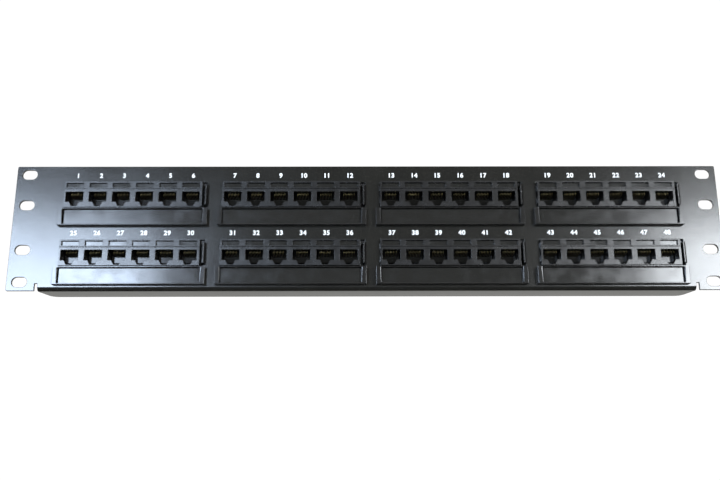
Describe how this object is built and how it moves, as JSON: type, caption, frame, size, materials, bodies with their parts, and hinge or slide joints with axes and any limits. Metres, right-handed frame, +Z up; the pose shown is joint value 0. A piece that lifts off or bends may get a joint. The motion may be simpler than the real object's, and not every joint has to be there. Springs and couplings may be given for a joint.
{
  "type": "patch panel",
  "caption": "Flat rack-mount panel with rows of network jacks in latched modules, label holders, circuit boards and rear punch-down blocks; screws to rack rails.",
  "frame": {"origin": "middle of the plane where the ears bear on the rack rails: the rear face of the face plate, midway across and midway up", "axes": "+X along the panel to the right as seen from the front, +Y backwards out of the rear face, +Z up"},
  "size_m": [0.4826, 0.0384, 0.0882],
  "materials": {
    "coated_steel": "semi-gloss charcoal powder coat",
    "black_plastic": "semi-gloss moulded",
    "strip_plastic": "polished",
    "carrier_plastic": "matt moulded",
    "board_laminate": "solder-masked glass laminate",
    "idc_plastic": "satin moulded"
  },
  "bodies": {
    "panel": {"face_plate": "coated_steel", "jack_housing_1": "black_plastic", "jack_housing_2": "black_plastic", "jack_housing_3": "black_plastic", "jack_housing_4": "black_plastic", "jack_housing_5": "black_plastic", "jack_housing_6": "black_plastic", "jack_housing_7": "black_plastic", "jack_housing_8": "black_plastic", "label_holder_1": "black_plastic", "label_holder_2": "black_plastic", "label_holder_3": "black_plastic", "label_holder_4": "black_plastic", "label_holder_5": "black_plastic", "label_holder_6": "black_plastic", "label_holder_7": "black_plastic", "label_holder_8": "black_plastic", "label_strip_1": "strip_plastic", "label_strip_2": "strip_plastic", "label_strip_3": "strip_plastic", "label_strip_4": "strip_plastic", "label_strip_5": "strip_plastic", "label_strip_6": "strip_plastic", "label_strip_7": "strip_plastic", "label_strip_8": "strip_plastic", "contact_carrier_1": "carrier_plastic", "contact_carrier_2": "carrier_plastic", "contact_carrier_3": "carrier_plastic", "contact_carrier_4": "carrier_plastic", "contact_carrier_5": "carrier_plastic", "contact_carrier_6": "carrier_plastic", "contact_carrier_7": "carrier_plastic", "contact_carrier_8": "carrier_plastic", "circuit_board_1": "board_laminate", "circuit_board_2": "board_laminate", "circuit_board_3": "board_laminate", "circuit_board_4": "board_laminate", "circuit_board_5": "board_laminate", "circuit_board_6": "board_laminate", "circuit_board_7": "board_laminate", "circuit_board_8": "board_laminate", "idc_block_1": "idc_plastic", "idc_block_2": "idc_plastic", "idc_block_3": "idc_plastic", "idc_block_4": "idc_plastic", "idc_block_5": "idc_plastic", "idc_block_6": "idc_plastic", "idc_block_7": "idc_plastic", "idc_block_8": "idc_plastic"},
    "latch_1": {"latch_arm_1": "black_plastic"},
    "latch_2": {"latch_arm_2": "black_plastic"},
    "latch_3": {"latch_arm_3": "black_plastic"},
    "latch_4": {"latch_arm_4": "black_plastic"},
    "latch_5": {"latch_arm_5": "black_plastic"},
    "latch_6": {"latch_arm_6": "black_plastic"},
    "latch_7": {"latch_arm_7": "black_plastic"},
    "latch_8": {"latch_arm_8": "black_plastic"}
  },
  "joints": [
    {"name": "latch_1_flex", "type": "hinge", "parent": "panel", "child": "latch_1", "pos_m": [-0.1102, 0.0114, 0.02285], "axis": [0, 0, -1], "range_deg": [0, 5], "stiffness_Nm_per_rad": 0.4},
    {"name": "latch_2_flex", "type": "hinge", "parent": "panel", "child": "latch_2", "pos_m": [-0.00225, 0.0114, 0.02285], "axis": [0, 0, -1], "range_deg": [0, 5], "stiffness_Nm_per_rad": 0.4},
    {"name": "latch_3_flex", "type": "hinge", "parent": "panel", "child": "latch_3", "pos_m": [0.1057, 0.0114, 0.02285], "axis": [0, 0, -1], "range_deg": [0, 5], "stiffness_Nm_per_rad": 0.4},
    {"name": "latch_4_flex", "type": "hinge", "parent": "panel", "child": "latch_4", "pos_m": [0.21365, 0.0114, 0.02285], "axis": [0, 0, -1], "range_deg": [0, 5], "stiffness_Nm_per_rad": 0.4},
    {"name": "latch_5_flex", "type": "hinge", "parent": "panel", "child": "latch_5", "pos_m": [-0.1102, 0.0114, -0.01843], "axis": [0, 0, -1], "range_deg": [0, 5], "stiffness_Nm_per_rad": 0.4},
    {"name": "latch_6_flex", "type": "hinge", "parent": "panel", "child": "latch_6", "pos_m": [-0.00225, 0.0114, -0.01843], "axis": [0, 0, -1], "range_deg": [0, 5], "stiffness_Nm_per_rad": 0.4},
    {"name": "latch_7_flex", "type": "hinge", "parent": "panel", "child": "latch_7", "pos_m": [0.1057, 0.0114, -0.01843], "axis": [0, 0, -1], "range_deg": [0, 5], "stiffness_Nm_per_rad": 0.4},
    {"name": "latch_8_flex", "type": "hinge", "parent": "panel", "child": "latch_8", "pos_m": [0.21365, 0.0114, -0.01843], "axis": [0, 0, -1], "range_deg": [0, 5], "stiffness_Nm_per_rad": 0.4}
  ]
}
